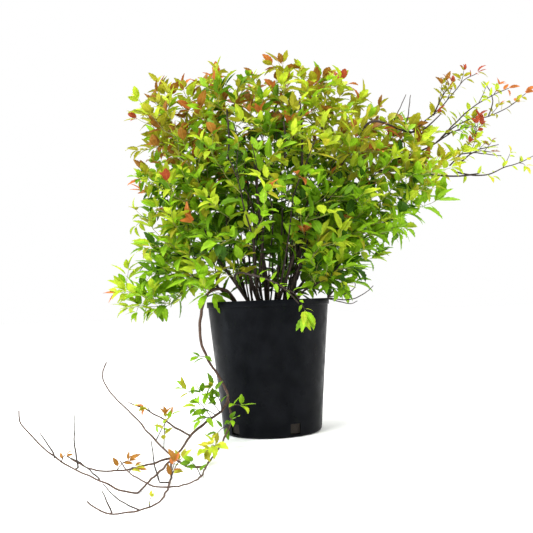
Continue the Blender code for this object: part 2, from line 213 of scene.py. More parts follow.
# Tips: so many for each litre of a mass, from SKIN_DEPTH inwards, or in a gap between two masses that is
# within GAP_REACH of both, only INNER_SHARE of them past INNER_DEPTH, and more in the core of the crown
SHOOTS_PER_LITRE = 17.0
TRIES_PER_TIP = 14
TIP_SPACING = 0.022
SKIN_DEPTH = 0.022
GAP_REACH = 0.024
INNER_DEPTH = 0.05
INNER_SHARE = 0.6
MASS_MERGE = 1e-5
LITRES = 1000.0
CORE_SHOOTS = 270
CORE_MIDDLE = (0.020, 0.030, 0.500)
CORE_REACH = (0.180, 0.130, 0.210)
CORE_CROWDING = 0.4
# The core's leaves are mostly of the dark kind, painted shade for the inside of the crown.
CORE_KINDS = ({"dark": 5, "green": 4}, {"green": 4, "bright": 2})
OUTLINE_LEAFINESS = 1.15

# How leaves stand on a shoot
LEAF_STEP = 0.0128
LEAF_STEP_RANGE = (0.8, 1.25)
LEAF_START = 0.18
GOLDEN_TURN = math.radians(137.5)
LEAF_LENGTH = 0.035
LEAF_LENGTH_RANGE = (0.8, 1.15)
LEAF_SHRINKS = 0.35
LEAF_LEAN = (0.5, 0.8)
LEAF_LIFT = 0.10
LEAF_FACES_OUT = 1.2
LEAF_WOBBLE = (0.5, 0.5, 0.3)
SHOOT_SIZE = (0.9, 1.35)
LOW_LEAVES_BELOW = 0.50
LOW_LEAF_SIZE = 1.18
YOUNG_FROM = 0.86
YOUNG_SHARE = 0.5
TIP_LEAF_LENGTH = 0.027
TIP_LEAF_RANGE = (0.75, 1.25)
TIP_LEAF_LEANS = (0.16, 0.36, 0.48)
TIP_YOUNG_SHARE = 0.4

# The blade: its greatest half width, its stalk and the lean of its teeth are shares of its length, and all
# other widths are shares of that half width
LEAF_HALF_WIDTH = (0.195, 0.255)
LEAF_FOLD = (0.10, 0.50)
LEAF_CURL = (0.1, 1.0)
LEAF_TWIST = 0.35
TOO_PARALLEL = 1e-4
STALK = 0.14
STALK_ROWS = (-STALK, -0.02)
STALK_HALF_WIDTH = 0.05
BLADE_ROWS = 10
BLADE_BASE_POWER = 0.62
BLADE_TIP_POWER = 0.96
BLADE_ENDS = (0.06, 0.015)
TOOTH_WIDTHS = (1.07, 0.90)
TOOTH_LEANS = (0.018, -0.004)
RIB_HALF_WIDTH = 0.035
LOWEST_LEAF = 0.0003

# How much darker and lighter a blade's patches are, what light it lets through, and the ramps' stops
LEAF_SHADES = (0.72, 1.22)
LEAF_STOPS = (0.30, 0.72)
ROUGH_STOPS = (0.35, 0.68)
LEAF_LETS_THROUGH = 0.28

# Leaves, as the kind's colour, its rib's colour and the record's slot
LEAF_KINDS = {
    # The dark kind is painted shade: a darker copy of the green leaves, with a darker rib, for leaves inside
    # and at the back of the crown where shade falls.
    "dark": ((0.038, 0.105, 0.006), (0.08, 0.18, 0.02), "dark_leaves"),
    "green": ((0.11, 0.235, 0.006), (0.2, 0.35, 0.03), "green_leaves"),
    "bright": ((0.255, 0.47, 0.014), (0.4, 0.58, 0.06), "green_leaves"),
    "lime": ((0.44, 0.56, 0.026), (0.56, 0.64, 0.09), "lime_leaves"),
    "yellow": ((0.56, 0.52, 0.035), (0.66, 0.62, 0.12), "lime_leaves"),
    "olive": ((0.345, 0.34, 0.018), (0.48, 0.46, 0.06), "bronze_leaves"),
    "bronze": ((0.29, 0.125, 0.018), (0.42, 0.24, 0.05), "bronze_leaves"),
    "orange": ((0.48, 0.145, 0.03), (0.58, 0.28, 0.08), "young_leaves"),
    "red": ((0.36, 0.06, 0.026), (0.46, 0.15, 0.05), "young_leaves"),
}

# How often a spray of each slot's masses takes each kind of leaf, and each kind at its tip
SPRAYS = {
    # The back skirts' slot takes the dark kind, painted shade; the green slot mixes a little of it in too.
    "dark_leaves": ({"dark": 5, "green": 5}, {"green": 1}),
    "green_leaves": (
        {"green": 4.5, "bright": 4, "dark": 1.5, "lime": 2, "olive": 1},
        {"bright": 4, "lime": 4, "olive": 1.5, "orange": 0.3}),
    "lime_leaves": (
        {"lime": 5, "bright": 1.8, "yellow": 2, "olive": 2.5},
        {"yellow": 2, "lime": 3.5, "bronze": 1.3, "orange": 1.2, "olive": 1}),
    "bronze_leaves": (
        {"olive": 5, "lime": 3.5, "bright": 1.5, "bronze": 0.8},
        {"bronze": 4.5, "olive": 3, "orange": 2.0, "lime": 1.5, "red": 0.4}),
}
# Masses that differ in this from others of their slot
SPRAYS_OF = {
    "mass_left_skirt": ({"lime": 4, "bright": 5, "green": 1}, {"lime": 4, "bright": 3, "yellow": 1}),
    # mass_middle takes more of the dark kind, painted shade where the middle of the crown lies in shadow.
    "mass_middle": (
        {"green": 5, "bright": 2, "olive": 3, "dark": 2, "lime": 1},
        {"lime": 3, "olive": 3, "bronze": 1, "orange": 0.5}),
}

# Masses that get fewer shoots for each litre, as a share
OPENNESS = {
    "mass_front_skirt": 0.8, "mass_back_left_skirt": 0.35, "mass_back_right_skirt": 0.35,
    "mass_front_left": 0.65, "mass_front_right": 0.75, "mass_back_left": 0.6, "mass_back_right": 0.6,
    "mass_left_skirt": 0.6, "mass_top_left": 0.75, "mass_top_middle": 0.75, "mass_top_right": 0.7,
}

# Shoots that make the outline: tip, the kind of its leaves, the kind at the tip, and the leaf size
OUTLINE = {
    "top left rosette": ((-0.23, 0.0, 0.792), "olive", "bronze", 1.15),
    "left lime leaf": ((-0.272, -0.02, 0.752), "lime", "lime", 1.15),
    "top pair": ((-0.144, 0.02, 0.79), "olive", "orange", 1.05),
    "top pair right": ((-0.108, 0.0, 0.778), "olive", "orange", 0.95),
    "upright leaf": ((-0.038, 0.02, 0.782), "bright", "bright", 1.35),
    "left red tip": ((-0.275, -0.03, 0.705), "olive", "red", 0.95),
    "left olive leaf": ((-0.272, -0.03, 0.635), "olive", "olive", 1.15),
    "left middle": ((-0.268, -0.03, 0.59), "green", "bronze", 0.85),
    "left orange": ((-0.272, -0.02, 0.545), "olive", "orange", 0.85),
    "left low": ((-0.285, -0.02, 0.5), "lime", "olive", 0.95),
    "left lower": ((-0.286, -0.02, 0.468), "lime", "lime", 0.85),
    "skirt upright": ((-0.3, -0.06, 0.366), "lime", "lime", 1.3),
    "skirt tip": ((-0.322, -0.08, 0.318), "lime", "orange", 1.05),
    "skirt low": ((-0.285, -0.06, 0.276), "bright", "lime", 0.95),
    "skirt middle": ((-0.25, -0.1, 0.34), "lime", "yellow", 1.2),
    "top spray": ((0.098, 0.0, 0.8), "olive", "red", 1.0),
    "top spray left": ((0.066, 0.0, 0.786), "lime", "yellow", 0.95),
    "top spray right": ((0.142, 0.0, 0.778), "olive", "bronze", 1.15),
    "red leaf": ((0.154, -0.02, 0.728), "olive", "red", 0.95),
    "right bronze": ((0.222, 0.0, 0.732), "olive", "orange", 1.0),
    "right high": ((0.27, 0.0, 0.716), "olive", "bronze", 0.95),
    "right edge": ((0.36, -0.02, 0.556), "lime", "yellow", 1.0),
    "right down": ((0.325, -0.03, 0.478), "bright", "bright", 1.25),
    "right lower": ((0.292, -0.04, 0.428), "bright", "green", 1.25),
    "right lowest": ((0.246, -0.05, 0.385), "green", "bright", 1.2),
    "middle yellow": ((0.01, -0.205, 0.51), "yellow", "orange", 0.95),
}

# Long sprays on the right past the boughs, with how leafy they are and their kinds of leaf
SPRAY_ROUTES = {
    "upper": (
        ((0.3125, -0.014, 0.632), (0.365, -0.02, 0.675), (0.41, -0.03, 0.712), (0.457, -0.03, 0.7635),
         (0.487, -0.03, 0.778)),
        1.0, "olive", "red"),
    "upper twin": (
        ((0.387, -0.02, 0.69), (0.402, -0.04, 0.722), (0.418, -0.045, 0.745)),
        1.0, "olive", "bronze"),
    "middle": (
        ((0.4, 0.015, 0.636), (0.442, 0.022, 0.6695), (0.485, 0.025, 0.69), (0.524, 0.025, 0.693),
         (0.575, 0.025, 0.716), (0.612, 0.025, 0.742)),
        0.8, "olive", "orange"),
    "middle twin": (
        ((0.41, 0.018, 0.645), (0.47, 0.0, 0.7), (0.52, -0.01, 0.73), (0.562, -0.01, 0.747)),
        1.1, "lime", "orange"),
    "middle low": (
        ((0.425, 0.02, 0.655), (0.47, 0.04, 0.672), (0.505, 0.05, 0.676)),
        1.2, "bright", "lime"),
    "short red": (
        ((0.42, -0.01, 0.577), (0.452, -0.01, 0.606), (0.477, -0.01, 0.64), (0.496, -0.01, 0.664)),
        0.7, "olive", "red"),
    "lower": (
        ((0.431, -0.018, 0.56), (0.47, -0.02, 0.551), (0.501, -0.02, 0.551), (0.54, -0.02, 0.566),
         (0.578, -0.02, 0.577), (0.606, -0.02, 0.59)),
        0.55, "lime", "yellow"),
    "lower leaves": (
        ((0.44, -0.02, 0.58), (0.475, -0.03, 0.602), (0.51, -0.03, 0.6)),
        0.9, "lime", "bronze"),
}

# Bare twigs: those over the right side, those low on the right, and those on the trailing branch
BARE_TWIGS = {
    "right up": ((0.524, 0.025, 0.693), (0.535, 0.025, 0.722), (0.532, 0.025, 0.75), (0.516, 0.025, 0.775)),
    "right tips 1": ((0.29, -0.01, 0.655), (0.304, -0.01, 0.69), (0.33, -0.01, 0.742)),
    "right tips 2": ((0.318, -0.02, 0.66), (0.33, -0.02, 0.69), (0.338, -0.02, 0.738)),
    "right tips 3": ((0.24, 0.0, 0.64), (0.262, 0.0, 0.67), (0.284, 0.0, 0.694)),
    "right thin 1": ((0.445, -0.01, 0.602), (0.48, -0.01, 0.603), (0.538, -0.01, 0.594)),
    "right thin 2": ((0.46, -0.02, 0.604), (0.5, -0.02, 0.612), (0.53, -0.02, 0.618)),
    "low right 1": (
        (0.13, -0.05, 0.292), (0.166, -0.06, 0.296), (0.19, -0.06, 0.312), (0.187, -0.06, 0.332)),
    "low right 2": (
        (0.13, -0.05, 0.29), (0.172, -0.07, 0.284), (0.205, -0.07, 0.294), (0.228, -0.07, 0.312)),
    "low right 3": (
        (0.13, -0.05, 0.288), (0.16, -0.08, 0.279), (0.178, -0.08, 0.276), (0.192, -0.08, 0.281)),
    "trail up 1": ((-0.3, -0.53, 0.045), (-0.307, -0.52, 0.08), (-0.305, -0.52, 0.125)),
    "trail up 2": ((-0.184, -0.48, 0.006), (-0.192, -0.475, 0.035), (-0.196, -0.47, 0.07)),
    "trail up 3": ((-0.335, -0.53, 0.06), (-0.341, -0.53, 0.074), (-0.358, -0.53, 0.1)),
    "trail out 1": ((-0.264, -0.548, 0.029), (-0.294, -0.52, 0.046), (-0.322, -0.51, 0.058)),
    "trail out 2": ((-0.225, -0.65, 0.007), (-0.232, -0.645, 0.02), (-0.24, -0.64, 0.034)),
    "trail out 3": ((-0.19, -0.635, 0.005), (-0.22, -0.62, 0.015), (-0.245, -0.61, 0.036)),
}

# Pruned stubs of old wood that show dark among the leaves
STUBS = {
    "tall": ((0.082, -0.125, 0.56), (0.083, -0.128, 0.712), 0.0028),
    "short right": ((0.047, -0.12, 0.585), (0.048, -0.123, 0.664), 0.0026),
    "short left": ((-0.072, -0.12, 0.59), (-0.071, -0.123, 0.696), 0.0024),
}

# Small tufts on the trailing branch: place on it, tip, kind, kind at the tip, leaf size
TRAIL_TUFTS = {
    "at the hang": ((-0.125, -0.11, 0.17), (-0.146, -0.135, 0.178), "green", "bright", 0.8),
    "beside the pot 1": ((-0.125, -0.165, 0.055), (-0.166, -0.195, 0.118), "bright", "olive", 1.05),
    "beside the pot 2": ((-0.11, -0.15, 0.07), (-0.138, -0.175, 0.108), "green", "bright", 1.0),
    "beside the pot 3": ((-0.12, -0.16, 0.06), (-0.15, -0.185, 0.082), "green", "lime", 0.95),
    "beside the pot 4": ((-0.12, -0.17, 0.045), (-0.14, -0.2, 0.058), "bright", "bright", 0.85),
    "beside the pot 5": ((-0.105, -0.15, 0.085), (-0.118, -0.17, 0.118), "green", "olive", 0.85),
    "in front of the pot": ((-0.088, -0.14, 0.075), (-0.058, -0.172, 0.08), "bright", "lime", 0.85),
    "at the drain hole": ((-0.09, -0.18, 0.045), (-0.08, -0.195, 0.056), "green", "bright", 0.8),
    "at the drain hole 2": ((-0.09, -0.18, 0.035), (-0.108, -0.2, 0.034), "green", "olive", 0.75),
    "on the ground": ((-0.104, -0.29, 0.018), (-0.11, -0.33, 0.034), "lime", "yellow", 1.0),
    "on the ground 2": ((-0.11, -0.3, 0.016), (-0.122, -0.325, 0.022), "olive", "lime", 0.8),
    "upper shoot": ((-0.23, -0.272, 0.092), (-0.238, -0.275, 0.1), "olive", "orange", 0.62),
    "rising shoot": ((-0.196, -0.338, 0.036), (-0.192, -0.33, 0.09), "olive", "bronze", 0.68),
    "rising shoot 2": ((-0.2, -0.32, 0.05), (-0.184, -0.315, 0.086), "bright", "bronze", 0.6),
    "crossing": ((-0.255, -0.44, 0.02), (-0.24, -0.44, 0.034), "bronze", "bronze", 0.6),
    "at the fork": ((-0.168, -0.47, 0.008), (-0.162, -0.455, 0.03), "bronze", "orange", 0.75),
    "at the fork 2": ((-0.14, -0.44, 0.008), (-0.136, -0.43, 0.024), "green", "bright", 0.75),
    "at the fork 3": ((-0.16, -0.45, 0.008), (-0.152, -0.44, 0.034), "olive", "lime", 0.65),
    "on the fork": ((-0.226, -0.51, 0.03), (-0.218, -0.505, 0.036), "olive", "bronze", 0.6),
    "far left": ((-0.326, -0.532, 0.057), (-0.318, -0.53, 0.064), "bronze", "bronze", 0.36),
    "in front": ((-0.18, -0.62, 0.006), (-0.176, -0.615, 0.016), "olive", "lime", 0.36),
}

# The spray that hangs over the rim, with a cluster of leaves at its end
FRONT_SPRAY = ((-0.03, -0.15, 0.345), (0.02, -0.178, 0.322),
               (0.058, -0.186, 0.296), (0.078, -0.19, 0.256))
FRONT_SPRAY_RADII = (0.0013, 0.0006)
FRONT_SPRAY_KINDS = ("bright", "lime")
FRONT_LEAF_SIZE = 0.78
FRONT_LEAFINESS = 1.3
FRONT_LEAF_START = 0.1
CLUSTER_LEAVES = 7
CLUSTER_PLACES = 3
CLUSTER_KINDS = ("bright", "lime", "bright", "green")
CLUSTER_WAY = (0.0, -0.2, -1.0)
CLUSTER_LEAF_LENGTH = 0.034
CLUSTER_LEAN = 0.45

# Twigs of tufts and sprays: radii at start and end, wobble as (amount, fineness), and how leafy they are
TUFT_RADII = (0.0011, 0.0006)
TUFT_LIFT = 0.004
TUFT_LEAFINESS = 1.3
TUFT_LEAF_START = 0.25
SPRAY_RADII = (0.0019, 0.0008)
SPRAY_WOBBLE = (0.0016, 45.0)
SPRAY_LEAF_SIZE = 0.74
SPRAY_LEAFINESS = 1.1
SPRAY_LEAF_START = 0.12
SIDE_SHOOTS_AT = (0.35, 0.6, 0.8)
SIDE_REACH = 0.02
SIDE_DEPTH = (-0.02, 0.02)
SIDE_RISE = (-0.012, 0.028)
SIDE_RADII = (0.0009, 0.0005)
SIDE_BOW = (0.002, 0.0, 0.002)
SIDE_LEAF_SIZE = 0.7
SIDE_LEAFINESS = 1.3
SIDE_LEAF_START = 0.3
BARE_TWIG_RADII = (0.0015, 0.0008)
BARE_TWIG_WOBBLE = (0.0012, 80.0)
STUB_TAPER = 0.8
STUB_BOW = (0.003, 0.0, 0.0)


def smooth_line(points, spacing):
    """Points about spacing apart along one smooth curve through the given points."""
    points = [Vector(p) for p in points]
    ends = [2 * points[0] - points[1], *points, 2 * points[-1] - points[-2]]
    line = []
    for a, b, c, d in zip(ends, ends[1:], ends[2:], ends[3:]):
        steps = max(1, round((c - b).length / spacing))
        for step in range(steps):
            t = step / steps
            line.append(
                b + 0.5 * t * (c - a)
                + t * t * (a - 2.5 * b + 2 * c - 0.5 * d)
                + t * t * t * (1.5 * (b - c) + 0.5 * (d - a)))
    return [*line, points[-1]]


def hermite(start, leave, tip, arrive, t):
    """The place at share t of a curve that leaves start and arrives at tip in the given directions."""
    return (
        (2 * t ** 3 - 3 * t ** 2 + 1) * start + (t ** 3 - 2 * t ** 2 + t) * leave
        + (3 * t ** 2 - 2 * t ** 3) * tip + (t ** 3 - t ** 2) * arrive)


def way_at(line, step):
    """The direction of a line at one of its points."""
    return (line[min(step + 1, len(line) - 1)] - line[max(step - 1, 0)]).normalized()


def length_of(line):
    return sum((b - a).length for a, b in zip(line, line[1:]))


def along_line(line, distance):
    """The place at a distance along a line, and the line's direction there."""
    for a, b in zip(line, line[1:]):
        span = (b - a).length
        if distance <= span:
            return a.lerp(b, distance / span), (b - a).normalized()
        distance -= span
    return line[-1], (line[-1] - line[-2]).normalized()


def taper(line, start, end):
    """A radius for each point of a line, evenly from start to end."""
    return [start + (end - start) * step / (len(line) - 1) for step in range(len(line))]


def wobbled(place, amount, fineness):
    """The place, moved a little by noise."""
    return place + amount * noise.noise_vector(place * fineness)


def nearest_of(places, place):
    return min(places, key=lambda other: (other - place).length)


def limb_rings(node, near):
    """Middle and radius of each ring of a packed limb, from its end nearest to the points near."""
    bm = bmesh.new()
    bm.from_mesh(frame["nodes"][node].data)
    bmesh.ops.remove_doubles(bm, verts=bm.verts, dist=RING_MERGE)
    corners = sorted([round(share, RING_DIGITS) for share in vertex.co] for vertex in bm.verts)
    bm.free()
    one_end = max(corners, key=lambda corner: math.dist(corner, corners[0]))
    other_end = max(corners, key=lambda corner: math.dist(corner, one_end))
    axis = [b - a for a, b in zip(one_end, other_end)]
    corners.sort(key=lambda corner: round(sum(a * b for a, b in zip(axis, corner)), ORDER_DIGITS))
    places = np.array(corners)
    rings = []
    for first in range(0, len(places) - RING_CORNERS + 1, RING_CORNERS):
        ring = places[first:first + RING_CORNERS]
        middle = Vector(ring.mean(axis=0))
        radius = float(np.linalg.norm(ring - ring.mean(axis=0), axis=1).mean())
        if not rings or (middle - rings[-1][0]).length > STEM_STEP:
            rings.append((middle, radius))
    usual = float(np.median([radius for _, radius in rings]))
    rings = [(middle, radius) for middle, radius in rings if radius < RING_SPREAD * usual]
    gaps = [min((end - place).length for place in near) for end in (rings[0][0], rings[-1][0])]
    return rings[::-1] if gaps[0] > gaps[1] else rings


def linked(name, data):
    """A new object in the scene for the given data."""
    made = bpy.data.objects.new(name, data)
    bpy.context.collection.objects.link(made)
    return made


def mesh_from(name, bm):
    """A mesh from a bmesh, which is freed."""
    mesh = bpy.data.meshes.new(name)
    bm.to_mesh(mesh)
    bm.free()
    return mesh


def mesh_object(name, vertices, faces, materials, slot, rib_faces=None):
    """A smooth mesh piece that rides on the root, with rib_faces in the second material."""
    mesh = bpy.data.meshes.new(name)
    mesh.from_pydata(vertices, [], faces)
    mesh.polygons.foreach_set("use_smooth", [True] * len(faces))
    for material in materials:
        mesh.materials.append(material)
    if rib_faces is not None:
        mesh.polygons.foreach_set("material_index", rib_faces)
    mesh.update()
    made = linked(name, mesh)
    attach(made, "root")
    return made


def circle(radius, height, sides):
    """The corners of a level circle round Z."""
    turns = [2 * math.pi * step / sides for step in range(sides)]
    return [Vector((radius * math.cos(turn), radius * math.sin(turn), height)) for turn in turns]


def quads(start, rings, sides):
    """For each quad between neighbouring rings of corners: its two below, then its two above."""
    for ring in range(rings - 1):
        below = start + ring * sides
        above = below + sides
        for step in range(sides):
            after = (step + 1) % sides
            yield below + step, below + after, above + step, above + after


class Tubes:
    """Collects tapering tubes, to be joined into one piece."""

    def __init__(self, sides, relief=0.0):
        self.sides = sides
        self.relief = relief
        self.vertices = []
        self.faces = []

    def add(self, path, radii):
        side = (path[1] - path[0]).orthogonal().normalized()
        start = len(self.vertices)
        for i, (point, radius) in enumerate(zip(path, radii)):
            way = way_at(path, i)
            side = (side - way * side.dot(way)).normalized()
            across = way.cross(side)
            for step in range(self.sides):
                angle = 2 * math.pi * step / self.sides
                outwards = side * math.cos(angle) + across * math.sin(angle)
                corner = point + outwards * (radius + self.bark_rise(point, outwards, radius))
                corner.z = max(corner.z, LOWEST_BARK)
                self.vertices.append(corner)
        self.faces += [(a, b, d, c) for a, b, c, d in quads(start, len(path), self.sides)]
        last = len(self.vertices) - self.sides
        self.faces.append(tuple(start + step for step in reversed(range(self.sides))))
        self.faces.append(tuple(last + step for step in range(self.sides)))

    def bark_rise(self, point, outwards, radius):
        """How far the bark stands out at a corner, by lengthwise ridges and fine pores."""
        if not self.relief:
            return 0.0
        ridge = noise.noise(outwards * RIDGES_ROUND + Vector((0.0, 0.0, point.length * RIDGES_ALONG)))
        pores = noise.noise((point + outwards * radius) * PORES)
        return radius * self.relief * (ridge + PORE_SHARE * pores)

    def piece(self, name, material, slot):
        return mesh_object(name, self.vertices, self.faces, [material], slot)


class Leaves:
    """Collects leaves of every kind, each as its place, frame and measures."""

    def __init__(self):
        self.grown = {kind: [] for kind in LEAF_KINDS}

    def add(self, kind, place, way, normal, length):
        way = way.normalized()
        side = way.cross(normal)
        if side.length < TOO_PARALLEL:
            side = way.orthogonal()
        side.normalize()
        width = length * rng.uniform(*LEAF_HALF_WIDTH)
        shape = (rng.uniform(*LEAF_FOLD), rng.uniform(*LEAF_CURL), rng.uniform(-LEAF_TWIST, LEAF_TWIST))
        self.grown[kind].append((place, way, side, side.cross(way), (length, width, *shape)))

    def piece(self, kind):
        """All leaves of a kind in one mesh of four columns, two for the edges and two for the rib."""
        leaves = self.grown[kind]
        rows, half_width, teeth = leaf_outline()
        place, way, side, up = (np.array([leaf[i] for leaf in leaves]) for i in range(4))
        length, width, fold, curl, twist = np.array([leaf[4] for leaf in leaves]).T[:, :, None]
        along = np.maximum(rows, 0.0)[None, :]
        forward = length * np.where(rows[None, :] < 0.0, rows[None, :], np.sin(curl * along) / curl)
        drop = -length * (1.0 - np.cos(curl * along)) / curl
        rib = np.full_like(half_width, RIB_HALF_WIDTH)
        rib[-1] = half_width[-1]
        level = np.zeros_like(teeth)
        columns = []
        edge, middle = (half_width, teeth), (rib, level)
        for sign, (outline, lean) in ((-1, edge), (-1, middle), (1, middle), (1, edge)):
            across = sign * width * outline[None, :]
            ahead = forward + length * lean[None, :]
            height = drop + fold * np.abs(across) + twist * across * along
            columns.append(
                place[:, None, :] + across[..., None] * side[:, None, :]
                + ahead[..., None] * way[:, None, :] + height[..., None] * up[:, None, :])
        vertices = np.stack(columns, axis=2).reshape(-1, 3)
        vertices[:, 2] = np.maximum(vertices[:, 2], LOWEST_LEAF)
        faces, rib_faces = leaf_faces(len(leaves), len(rows), len(columns))
        colour, rib_colour, slot = LEAF_KINDS[kind]
        materials = [leaf_material("leaf_" + kind, colour), leaf_material("rib_" + kind, rib_colour)]
        return mesh_object("leaves_" + kind, vertices.tolist(), faces, materials, slot, rib_faces)


def leaf_outline():
    """Rows along a leaf as shares of its length, each row's half width, and how far its teeth lean ahead."""
    blade = np.linspace(0.0, 1.0, BLADE_ROWS)
    width = (blade ** BLADE_BASE_POWER) * ((1.0 - blade) ** BLADE_TIP_POWER)
    width /= width.max()
    is_tooth = np.arange(BLADE_ROWS) % 2 == 0
    width = width * np.where(is_tooth, *TOOTH_WIDTHS)
    width[0], width[-1] = BLADE_ENDS
    ahead = np.where(is_tooth, *TOOTH_LEANS)
    ahead[0] = ahead[-1] = 0.0
    stalk_width = [STALK_HALF_WIDTH] * len(STALK_ROWS)
    stalk_ahead = [0.0] * len(STALK_ROWS)
    return np.array([*STALK_ROWS, *blade]), np.array([*stalk_width, *width]), np.array([*stalk_ahead, *ahead])


def leaf_faces(leaves, rows, columns):
    """Faces of leaves that have columns of vertices, and which of them are the light rib in the middle."""
    faces, rib_faces = [], []
    for leaf in range(leaves):
        for row in range(rows - 1):
            for column in range(columns - 1):
                corner = (leaf * rows + row) * columns + column
                faces.append((corner, corner + 1, corner + columns + 1, corner + columns))
                rib_faces.append(int(column == 1))
    return faces, rib_faces


def nodes_of(owner):
    """The shader nodes and links of a material or a world."""
    owner.use_nodes = True
    return owner.node_tree.nodes, owner.node_tree.links


def set_inputs(node, values):
    """The node, with the given values at its inputs."""
    for name, value in values.items():
        node.inputs[name].default_value = value
    return node


def new_node(nodes, kind, values):
    return set_inputs(nodes.new("ShaderNode" + kind), values)


def link_nodes(links, *joints):
    """Links shader nodes, with each joint as (node, its output, next node, its input)."""
    for node, output, after, entry in joints:
        links.new(node.outputs[output], after.inputs[entry])


def shades_between(nodes, dark, light):
    """A colour ramp between two stops, each as (position, colour)."""
    ramp = nodes.new("ShaderNodeValToRGB")
    for stop, (position, colour) in zip(ramp.color_ramp.elements, (dark, light)):
        stop.position = position
        stop.color = (*colour, 1.0)
    return ramp


def link_pattern(links, shader, pattern, shades, relief, bump):
    """Colours a shader by the shades of a pattern, and roughens it by the bumps of a relief."""
    link_nodes(
        links,
        (pattern, "Fac", shades, "Fac"),
        (shades, "Color", shader, "Base Color"),
        (relief, "Fac", bump, "Height"),
        (bump, "Normal", shader, "Normal"))


def leaf_material(name, colour):
    """A thin satin blade that lets light through, a little darker and lighter in patches."""
    material = bpy.data.materials.new(name)
    nodes, links = nodes_of(material)
    shader = set_inputs(nodes["Principled BSDF"], {"Roughness": 0.52, "Specular IOR Level": 0.12})
    patches = new_node(nodes, "TexNoise", {"Scale": 55.0, "Detail": 3.0})
    darker = [share * LEAF_SHADES[0] for share in colour]
    lighter = [min(1.0, share * LEAF_SHADES[1]) for share in colour]
    shades = shades_between(nodes, (LEAF_STOPS[0], darker), (LEAF_STOPS[1], lighter))
    veins = new_node(nodes, "TexNoise", {"Scale": 420.0})
    bump = new_node(nodes, "Bump", {"Strength": 0.18, "Distance": 0.0008})
    link_pattern(links, shader, patches, shades, veins, bump)
    through = nodes.new("ShaderNodeBsdfTranslucent")
    links.new(shades.outputs["Color"], through.inputs["Color"])
    mix = nodes.new("ShaderNodeMixShader")
    mix.inputs[0].default_value = LEAF_LETS_THROUGH
    link_nodes(
        links,
        (shader, "BSDF", mix, 1),
        (through, "BSDF", mix, 2),
        (mix, "Shader", nodes["Material Output"], "Surface"))
    return material


def rough_material(name, dark, light, scale, roughness, bumps):
    """Two colours in a noise pattern of the given scale, with fine bumps of the given height."""
    material = bpy.data.materials.new(name)
    nodes, links = nodes_of(material)
    shader = set_inputs(nodes["Principled BSDF"], {"Roughness": roughness})
    pattern = new_node(nodes, "TexNoise", {"Scale": scale, "Detail": 6.0})
    shades = shades_between(nodes, (ROUGH_STOPS[0], dark), (ROUGH_STOPS[1], light))
    bump = new_node(nodes, "Bump", {"Strength": 0.6, "Distance": bumps})
    link_pattern(links, shader, pattern, shades, pattern, bump)
    return material


def plastic_material():
    """Black moulded plastic with faint scuffs, whose pattern takes the place of its plain roughness."""
    dark, light = (0.0022, 0.0026, 0.0036), (0.0050, 0.0056, 0.0072)
    material = rough_material("black_plastic", dark, light, scale=9.0, roughness=0.34, bumps=0.0002)
    nodes, links = nodes_of(material)
    shader = set_inputs(nodes["Principled BSDF"], {"Specular IOR Level": 0.035})
    scuffs = new_node(nodes, "TexNoise", {"Scale": 14.0, "Detail": 8.0})
    duller = new_node(
        nodes, "MapRange", {"From Min": 0.35, "From Max": 0.75, "To Min": 0.26, "To Max": 0.50})
    link_nodes(links, (scuffs, "Fac", duller, "Value"), (duller, "Result", shader, "Roughness"))
    return material


def soil_material():
    dark, light = (0.004, 0.003, 0.002), (0.024, 0.015, 0.009)
    return rough_material("potting_mix", dark, light, scale=260.0, roughness=0.95, bumps=0.002)


def chip_material():
    dark, light = (0.030, 0.016, 0.009), (0.130, 0.070, 0.036)
    return rough_material("bark_chips", dark, light, scale=190.0, roughness=0.9, bumps=0.001)


def bark_material():
    dark, light = (0.012, 0.007, 0.005), (0.055, 0.032, 0.021)
    return rough_material("bark", dark, light, scale=170.0, roughness=0.85, bumps=0.0012)


def trail_material():
    dark, light = (0.026, 0.012, 0.008), (0.120, 0.062, 0.038)
    return rough_material("trail_bark", dark, light, scale=190.0, roughness=0.8, bumps=0.0009)


def young_bark_material():
    dark, light = (0.150, 0.170, 0.040), (0.330, 0.300, 0.085)
    return rough_material("green_shoots", dark, light, scale=120.0, roughness=0.6, bumps=0.0004)


def floor_material():
    dark, light = (0.90, 0.90, 0.89), (0.93, 0.93, 0.92)
    return rough_material("pale_floor", dark, light, scale=1.5, roughness=0.9, bumps=0.0001)


def turned_mesh(name, profile, sides):
    """A closed mesh turned round Z from a profile whose first and last points lie on Z."""
    bm = bmesh.new()
    circles = [circle(radius, height, sides) for radius, height in profile[1:-1]]
    rings = [[bm.verts.new(place) for place in places] for places in circles]
    for below, above in zip(rings, rings[1:]):
        for step in range(sides):
            after = (step + 1) % sides
            bm.faces.new((below[step], below[after], above[after], above[step]))
    for ring, (_, height) in ((rings[0], profile[0]), (rings[-1], profile[-1])):
        middle = bm.verts.new((0.0, 0.0, height))
        for step in range(sides):
            bm.faces.new((ring[step], ring[(step + 1) % sides], middle))
    bmesh.ops.recalc_face_normals(bm, faces=bm.faces)
    return mesh_from(name, bm)


def arc(centre, radius, start, end, steps):
    """Profile points on a round corner, between two angles in degrees."""
    angles = [math.radians(start + (end - start) * step / steps) for step in range(steps + 1)]
    return [(centre[0] + radius * math.cos(a), centre[1] + radius * math.sin(a)) for a in angles]


